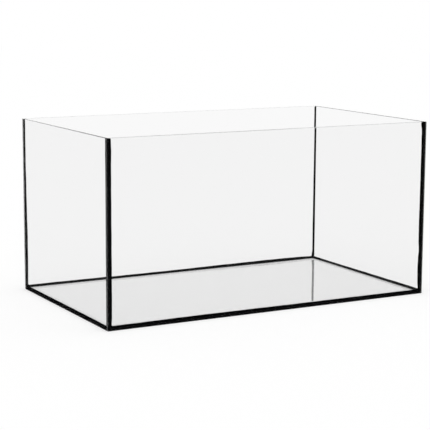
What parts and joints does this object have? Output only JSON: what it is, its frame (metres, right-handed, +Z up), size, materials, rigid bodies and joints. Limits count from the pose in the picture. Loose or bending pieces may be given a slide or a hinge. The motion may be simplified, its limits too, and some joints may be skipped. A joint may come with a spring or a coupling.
{
  "type": "glass aquarium",
  "caption": "Rimless rectangular all-glass tank, open at the top, its clear panes joined and sealed by black silicone along every edge.",
  "frame": {"origin": "centre of the footprint at the level of the surface that the tank stands on", "axes": "+X along the front pane to the right, +Y from the front pane to the rear pane, +Z up"},
  "size_m": [0.6, 0.35, 0.3],
  "materials": {
    "float_glass": "clear polished float glass, cut edges ground",
    "black_silicone": "cured silicone, tooled smooth, satin"
  },
  "bodies": {
    "root": {"base_pane": "float_glass", "front_pane": "float_glass", "rear_pane": "float_glass", "left_pane": "float_glass", "right_pane": "float_glass", "bond_front_left": "black_silicone", "bond_front_right": "black_silicone", "bond_rear_left": "black_silicone", "bond_rear_right": "black_silicone", "bond_base_front": "black_silicone", "bond_base_rear": "black_silicone", "bond_base_left": "black_silicone", "bond_base_right": "black_silicone", "bead_front_left": "black_silicone", "bead_front_right": "black_silicone", "bead_rear_left": "black_silicone", "bead_rear_right": "black_silicone", "bead_base_front": "black_silicone", "bead_base_rear": "black_silicone", "bead_base_left": "black_silicone", "bead_base_right": "black_silicone"}
  },
  "joints": []
}
